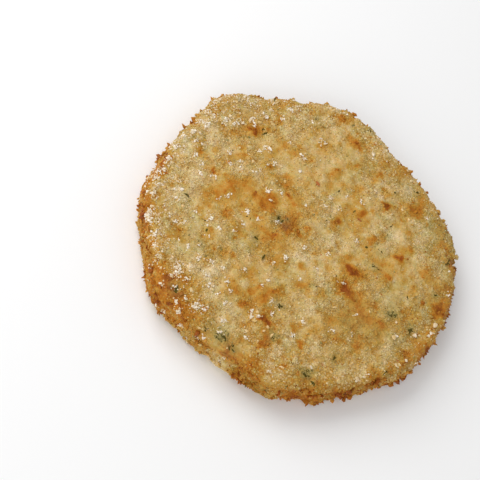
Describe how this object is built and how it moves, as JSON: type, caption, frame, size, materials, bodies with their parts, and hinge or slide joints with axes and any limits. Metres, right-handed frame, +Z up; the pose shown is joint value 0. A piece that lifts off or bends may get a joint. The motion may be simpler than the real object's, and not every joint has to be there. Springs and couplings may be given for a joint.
{
  "type": "breaded crab cake",
  "caption": "Flat, round, golden-fried crab cake with an uneven outline, a low rim and a fine crumb coat that stands out in crags and flakes.",
  "frame": {"origin": "under the middle of the cake, on the plane that it rests on", "axes": "+Z up through the thickness, +X along the slightly longer way across"},
  "size_m": [0.0874, 0.0834, 0.0117],
  "materials": {
    "golden_crumb": "dry, fried breadcrumb"
  },
  "bodies": {
    "root": {"crab_cake": "golden_crumb"}
  },
  "joints": []
}
